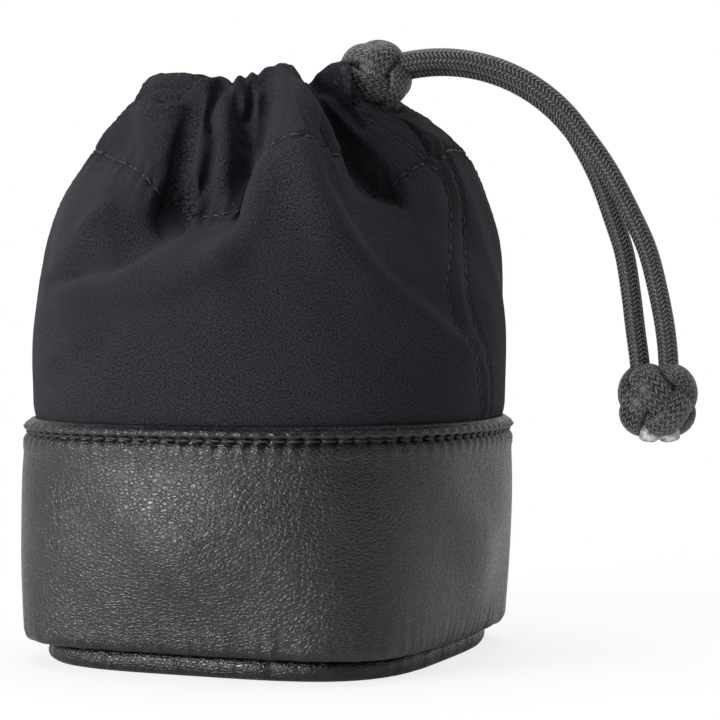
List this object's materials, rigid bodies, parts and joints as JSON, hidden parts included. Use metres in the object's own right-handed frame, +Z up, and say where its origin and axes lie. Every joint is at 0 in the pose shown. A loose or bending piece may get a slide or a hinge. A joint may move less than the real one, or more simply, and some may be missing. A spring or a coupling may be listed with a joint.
{
  "type": "lens pouch",
  "caption": "Drawstring lens pouch: padded leather lower part on a square foot, gathered cloth top closed by a round braided cord with a sliding knot and an end knot.",
  "frame": {"origin": "on the ground under the middle of the square foot", "axes": "+Z up through the mouth, +X to the side with the seam and the hanging cord, -Y to the front panel"},
  "size_m": [0.1333, 0.0968, 0.1242],
  "materials": {
    "leather": "pebbled, satin, nearly black",
    "cloth": "plain woven, dull, black with a trace of navy",
    "lining": "soft, dull dark grey",
    "foam": "open foam",
    "board": "pressed fibre",
    "cord": "round braid, charcoal",
    "cord_tip": "melted braid, pale grey",
    "thread": "twisted, slightly glossy black"
  },
  "bodies": {
    "pouch": {"leather_wall": "leather", "leather_base": "leather", "base_board": "board", "base_padding": "foam", "wall_padding": "foam", "lining_floor": "lining", "lining_sleeve": "lining", "cloth_body": "cloth", "channel_cord": "cord", "cord_strand_front": "cord", "cord_strand_back": "cord", "end_knot": "cord", "cord_tip_inner": "cord_tip", "cord_tip_outer": "cord_tip", "hem_thread": "thread", "channel_thread": "thread", "seam_thread_front": "thread", "seam_thread_back": "thread"},
    "slider": {"sliding_knot": "cord"}
  },
  "joints": [
    {"name": "slider_travel", "type": "hinge", "parent": "pouch", "child": "slider", "pos_m": [0.0356, 0.0032, 0.0859], "axis": [-0.2588, 0.9659, 0], "range_deg": [0, 62]}
  ]
}
